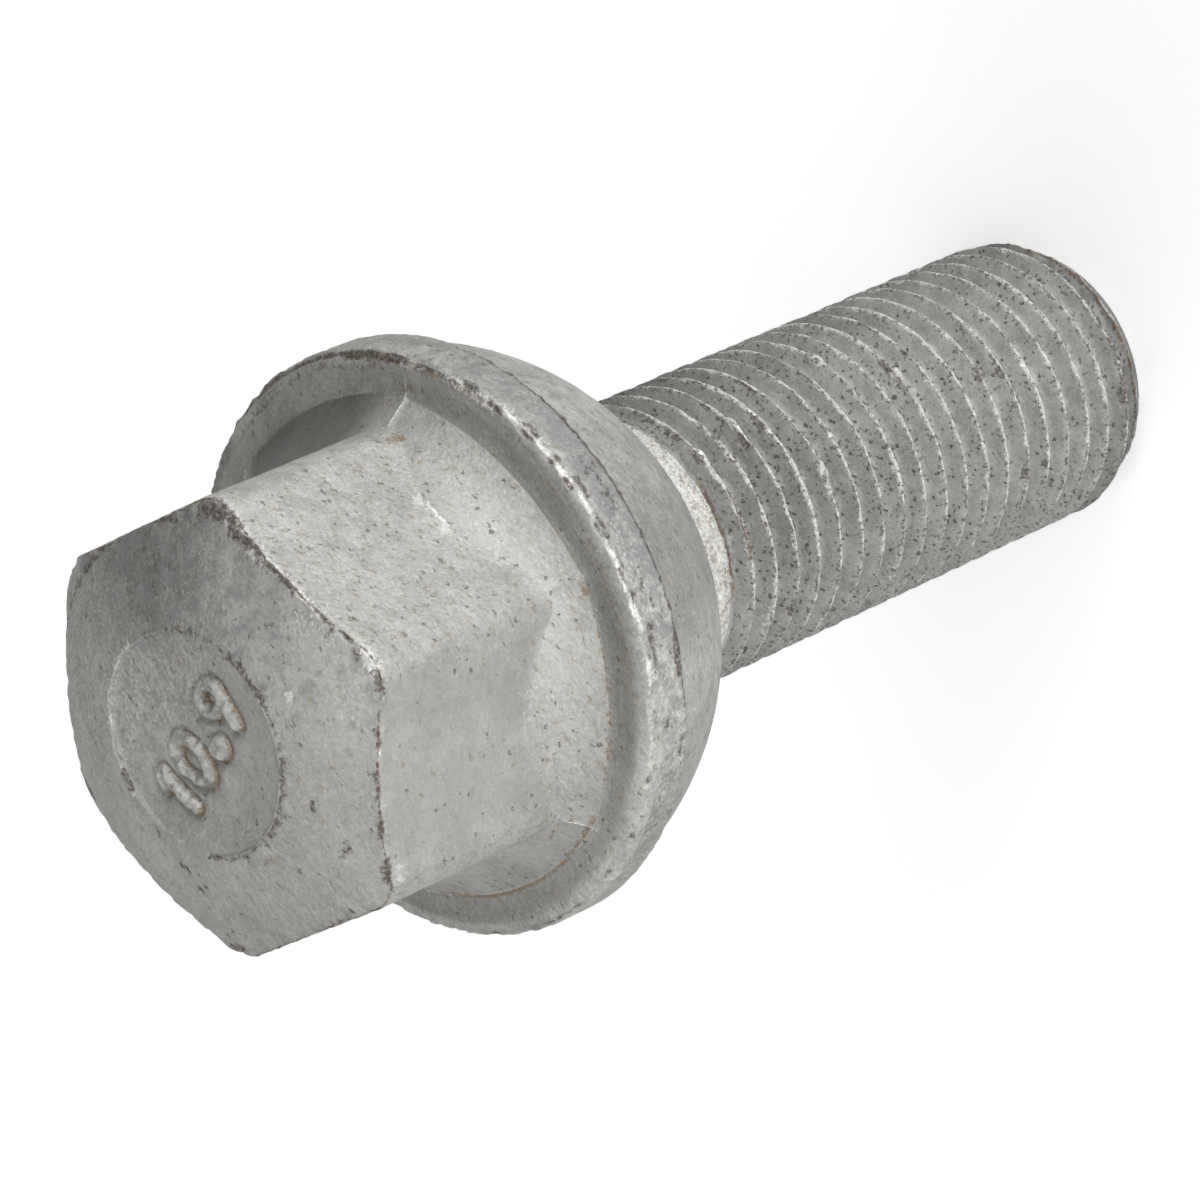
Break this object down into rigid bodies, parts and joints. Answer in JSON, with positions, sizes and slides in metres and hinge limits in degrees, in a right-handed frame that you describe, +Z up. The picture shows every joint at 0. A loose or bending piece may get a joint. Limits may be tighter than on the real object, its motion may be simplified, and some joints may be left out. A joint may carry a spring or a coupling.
{
  "type": "wheel bolt",
  "caption": "Forged wheel bolt with a crowned hex head, a round flange, a ball seat and a threaded shank, for fastening a wheel to its hub.",
  "frame": {"origin": "middle of the flat end face at the tip, on the surface that the bolt stands on", "axes": "+Z up the bolt's own axis, from the tip to the crowned head; two flats of the hex face along X and two of its corners point along Y"},
  "size_m": [0.0272, 0.0272, 0.0573],
  "materials": {
    "zinc_coated_steel": "matte zinc coating, pitted and specked, worn bright and brown along the edges"
  },
  "bodies": {
    "root": {"wheel_bolt": "zinc_coated_steel"}
  },
  "joints": []
}
